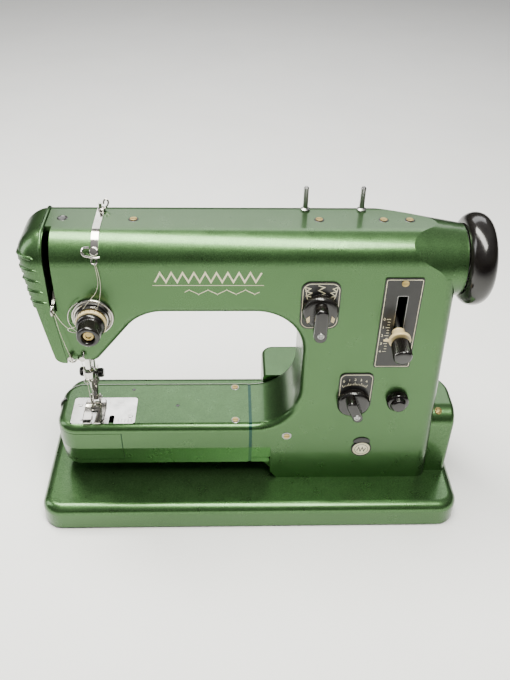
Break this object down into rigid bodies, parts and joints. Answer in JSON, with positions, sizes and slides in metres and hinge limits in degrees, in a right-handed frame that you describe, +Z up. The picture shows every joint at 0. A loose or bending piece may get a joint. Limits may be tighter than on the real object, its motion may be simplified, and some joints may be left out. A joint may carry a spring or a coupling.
{
  "type": "sewing machine",
  "caption": "Free-arm zigzag sewing machine on a low base, with a hollow arm and pillar, handwheel, presser foot, needle drive, thread tension unit and stitch controls.",
  "frame": {"origin": "middle of the base, on the surface that the rubber feet stand on", "axes": "+X to the handwheel, +Y to the back, +Z up"},
  "size_m": [0.41, 0.2, 0.322],
  "materials": {
    "green_paint": "glossy metallic",
    "dark_steel": "satin",
    "rubber": "matte",
    "polished_steel": "polished",
    "steel": "machined",
    "chrome": "polished",
    "brass": "satin",
    "black_enamel": "satin",
    "cream_enamel": "gloss",
    "black_plastic": "gloss",
    "ivory_plastic": "gloss",
    "cast_iron": "matte"
  },
  "bodies": {
    "machine": {"base_shell": "green_paint", "bottom_plate": "dark_steel", "rubber_feet": "rubber", "arm_casting": "green_paint", "free_arm_shell": "green_paint", "collar_strip": "green_paint", "rear_housing": "green_paint", "needle_plate": "polished_steel", "plate_screws": "polished_steel", "slotted_screws": "brass", "thread_strap": "chrome", "spool_pin_left": "steel", "spool_pin_right": "steel", "selector_plate": "black_enamel", "length_plate": "black_enamel", "width_plate": "black_enamel", "badge": "cream_enamel", "power_inlet": "black_plastic", "motor": "cast_iron", "motor_belt": "rubber", "timing_belt": "rubber", "bobbin_case": "steel", "shaft_bushes": "brass", "bar_bushes": "brass", "tension_base": "chrome", "tension_discs": "chrome", "thread_guides": "chrome"},
    "handwheel": {"main_shaft": "steel", "handwheel": "black_plastic", "crank_disc": "cast_iron", "upper_sprocket": "steel"},
    "clutch": {"clutch_knob": "black_plastic"},
    "lower_drive": {"lower_shaft": "steel", "lower_sprocket": "steel", "lower_pulley": "steel"},
    "hook": {"hook": "polished_steel"},
    "bobbin": {"bobbin": "polished_steel"},
    "motor_rotor": {"motor_rotor": "steel"},
    "face_cover": {"face_cover": "green_paint"},
    "hook_door": {"hook_door": "green_paint"},
    "needle_bar": {"needle_bar": "polished_steel", "needle_clamp": "steel", "needle_screw": "black_plastic", "needle": "chrome"},
    "presser_bar": {"presser_bar": "polished_steel", "foot_shank": "chrome", "foot_screw": "black_plastic"},
    "presser_foot": {"foot_sole": "chrome"},
    "presser_lifter": {"lifter_lever": "chrome"},
    "take_up": {"take_up_lever": "chrome"},
    "check_spring": {"check_spring": "chrome"},
    "tension_dial": {"tension_ring": "ivory_plastic", "tension_knob": "black_plastic"},
    "selector": {"selector_knob": "black_plastic"},
    "stitch_length": {"length_lever": "steel", "lever_collar": "ivory_plastic", "lever_grip": "black_plastic"},
    "stitch_width": {"width_knob": "black_plastic"},
    "feed_dial": {"small_dial": "black_plastic"},
    "feed_dog": {"feed_dog": "steel"}
  },
  "joints": [
    {"name": "handwheel_spin", "type": "hinge", "parent": "machine", "child": "handwheel", "pos_m": [0.1775, -0.026, 0.265], "axis": [1, 0, 0], "continuous": true},
    {"name": "clutch_turn", "type": "hinge", "parent": "handwheel", "child": "clutch", "pos_m": [0.195, -0.026, 0.265], "axis": [1, 0, 0], "range_deg": [0, 60]},
    {"name": "lower_spin", "type": "hinge", "parent": "machine", "child": "lower_drive", "pos_m": [0.1, -0.008, 0.072], "axis": [1, 0, 0], "continuous": true},
    {"name": "hook_spin", "type": "hinge", "parent": "machine", "child": "hook", "pos_m": [-0.1515, -0.02, 0.072], "axis": [0, 1, 0], "continuous": true},
    {"name": "bobbin_spin", "type": "hinge", "parent": "machine", "child": "bobbin", "pos_m": [-0.1515, -0.045, 0.072], "axis": [0, 1, 0], "continuous": true},
    {"name": "motor_spin", "type": "hinge", "parent": "machine", "child": "motor_rotor", "pos_m": [0.135, 0.033, 0.062], "axis": [1, 0, 0], "continuous": true},
    {"name": "face_cover_hinge", "type": "hinge", "parent": "machine", "child": "face_cover", "pos_m": [-0.1709, 0.008, 0.24], "axis": [0, 0, 1], "range_deg": [-90, 0]},
    {"name": "hook_door_hinge", "type": "hinge", "parent": "machine", "child": "hook_door", "pos_m": [-0.155, -0.0556, 0.0518], "axis": [1, 0, 0], "range_deg": [0, 85]},
    {"name": "needle_bar_slide", "type": "slide", "parent": "machine", "child": "needle_bar", "axis": [0, 0, 1], "range_m": [-0.028, 0.003]},
    {"name": "presser_slide", "type": "slide", "parent": "machine", "child": "presser_bar", "axis": [0, 0, 1], "range_m": [0, 0.006]},
    {"name": "foot_tilt", "type": "hinge", "parent": "presser_bar", "child": "presser_foot", "pos_m": [-0.1515, -0.025, 0.1075], "axis": [1, 0, 0], "range_deg": [-8, 0]},
    {"name": "lifter_turn", "type": "hinge", "parent": "machine", "child": "presser_lifter", "pos_m": [-0.1535, 0.008, 0.208], "axis": [0, 1, 0], "range_deg": [0, 60]},
    {"name": "take_up_swing", "type": "hinge", "parent": "machine", "child": "take_up", "pos_m": [-0.1672, -0.016, 0.262], "axis": [1, 0, 0], "range_deg": [-52, 0]},
    {"name": "check_spring_turn", "type": "hinge", "parent": "machine", "child": "check_spring", "pos_m": [-0.136, -0.064, 0.229], "axis": [0, -1, 0], "range_deg": [0, 25]},
    {"name": "tension_turn", "type": "hinge", "parent": "machine", "child": "tension_dial", "pos_m": [-0.136, -0.08, 0.229], "axis": [0, -1, 0], "range_deg": [-135, 135]},
    {"name": "selector_turn", "type": "hinge", "parent": "machine", "child": "selector", "pos_m": [0.0554, -0.061, 0.237], "axis": [0, -1, 0], "range_deg": [-60, 60]},
    {"name": "stitch_length_swing", "type": "hinge", "parent": "machine", "child": "stitch_length", "pos_m": [0.1245, -0.002, 0.2275], "axis": [1, 0, 0], "range_deg": [-24, 0]},
    {"name": "stitch_width_turn", "type": "hinge", "parent": "machine", "child": "stitch_width", "pos_m": [0.0935, -0.061, 0.133], "axis": [0, -1, 0], "range_deg": [-50, 50]},
    {"name": "feed_dial_turn", "type": "hinge", "parent": "machine", "child": "feed_dial", "pos_m": [0.135, -0.061, 0.1335], "axis": [0, -1, 0], "range_deg": [0, 90]},
    {"name": "feed_dog_slide", "type": "slide", "parent": "machine", "child": "feed_dog", "axis": [0, 1, 0], "range_m": [-0.002, 0.002]}
  ],
  "couplings": [
    {"joint": "lower_spin", "follows": "handwheel_spin", "ratio": 2},
    {"joint": "hook_spin", "follows": "handwheel_spin", "ratio": 2},
    {"joint": "motor_spin", "follows": "handwheel_spin", "ratio": 5.3333},
    {"joint": "presser_slide", "follows": "lifter_turn", "m_per_rad": 0.0057296}
  ]
}
